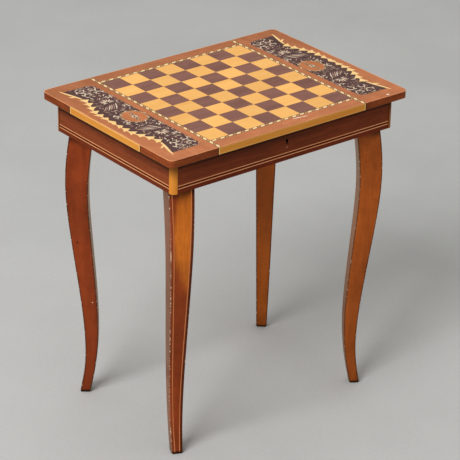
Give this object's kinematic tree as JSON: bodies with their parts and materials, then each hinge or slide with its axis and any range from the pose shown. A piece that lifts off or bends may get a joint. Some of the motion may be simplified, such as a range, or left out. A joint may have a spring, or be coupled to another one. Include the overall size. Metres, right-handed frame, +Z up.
{
  "type": "chess table",
  "caption": "Small chess table: an inlaid board between marquetry ends on a hinged lid, over a shallow locking box on swept, tapering legs.",
  "frame": {"origin": "on the floor under the middle of the lid", "axes": "+X along the lid's length, to the right of someone facing the keyhole; +Y to the back, where the hinges are; +Z up"},
  "size_m": [0.483, 0.346, 0.5498],
  "materials": {
    "honey_wood": "lacquered semi-gloss",
    "light_line": "lacquered semi-gloss",
    "dark_line": "lacquered semi-gloss",
    "brass": "plain",
    "steel": "plain",
    "plywood": "bare",
    "felt": "matt",
    "mahogany": "lacquered semi-gloss",
    "leg_wood": "lacquered semi-gloss",
    "softwood": "bare",
    "light_veneer": "lacquered semi-gloss",
    "dark_veneer": "lacquered semi-gloss",
    "mosaic_veneer": "lacquered semi-gloss",
    "field_veneer": "lacquered semi-gloss",
    "medallion_veneer": "lacquered semi-gloss"
  },
  "bodies": {
    "carcase": {"front_left_post": "honey_wood", "front_right_post": "honey_wood", "back_left_post": "honey_wood", "back_right_post": "honey_wood", "light_stringing": "light_line", "dark_stringing": "dark_line", "lock_case": "brass", "lock_screws": "brass", "floor_panel": "plywood", "floor_lining": "felt", "front_apron": "mahogany", "back_apron": "mahogany", "left_apron": "mahogany", "right_apron": "mahogany", "left_box_leaf": "brass", "right_box_leaf": "brass", "box_hinge_screws": "brass", "hinge_pins": "steel", "front_left_block": "softwood", "front_right_block": "softwood", "back_left_block": "softwood", "back_right_block": "softwood", "leg_nuts": "steel", "leg_studs": "steel", "front_left_leg": "leg_wood", "front_right_leg": "leg_wood", "back_left_leg": "leg_wood", "back_right_leg": "leg_wood", "leg_stringing": "light_line"},
    "lid": {"light_squares": "light_veneer", "dark_squares": "dark_veneer", "left_band": "mosaic_veneer", "right_band": "mosaic_veneer", "front_band": "mosaic_veneer", "back_band": "mosaic_veneer", "front_field": "field_veneer", "back_field": "field_veneer", "left_panel": "dark_veneer", "left_leaf_border": "light_veneer", "left_medallion": "medallion_veneer", "left_end_field": "field_veneer", "right_panel": "dark_veneer", "right_leaf_border": "light_veneer", "right_medallion": "medallion_veneer", "right_end_field": "field_veneer", "left_lid_leaf": "brass", "right_lid_leaf": "brass", "lid_hinge_screws": "brass", "front_edge_strip": "honey_wood", "back_edge_strip": "honey_wood", "left_edge_strip": "honey_wood", "right_edge_strip": "honey_wood", "lock_link": "brass", "link_screws": "brass", "lid_backing": "plywood", "lid_core": "mahogany"},
    "bolt": {"lock_bolt": "brass"}
  },
  "joints": [
    {"name": "lid_hinge", "type": "hinge", "parent": "carcase", "child": "lid", "pos_m": [0, 0.1592, 0.53715], "axis": [-1, 0, 0], "range_deg": [0, 95]},
    {"name": "bolt_slide", "type": "slide", "parent": "carcase", "child": "bolt", "axis": [1, 0, 0], "range_m": [0, 0.005]}
  ]
}
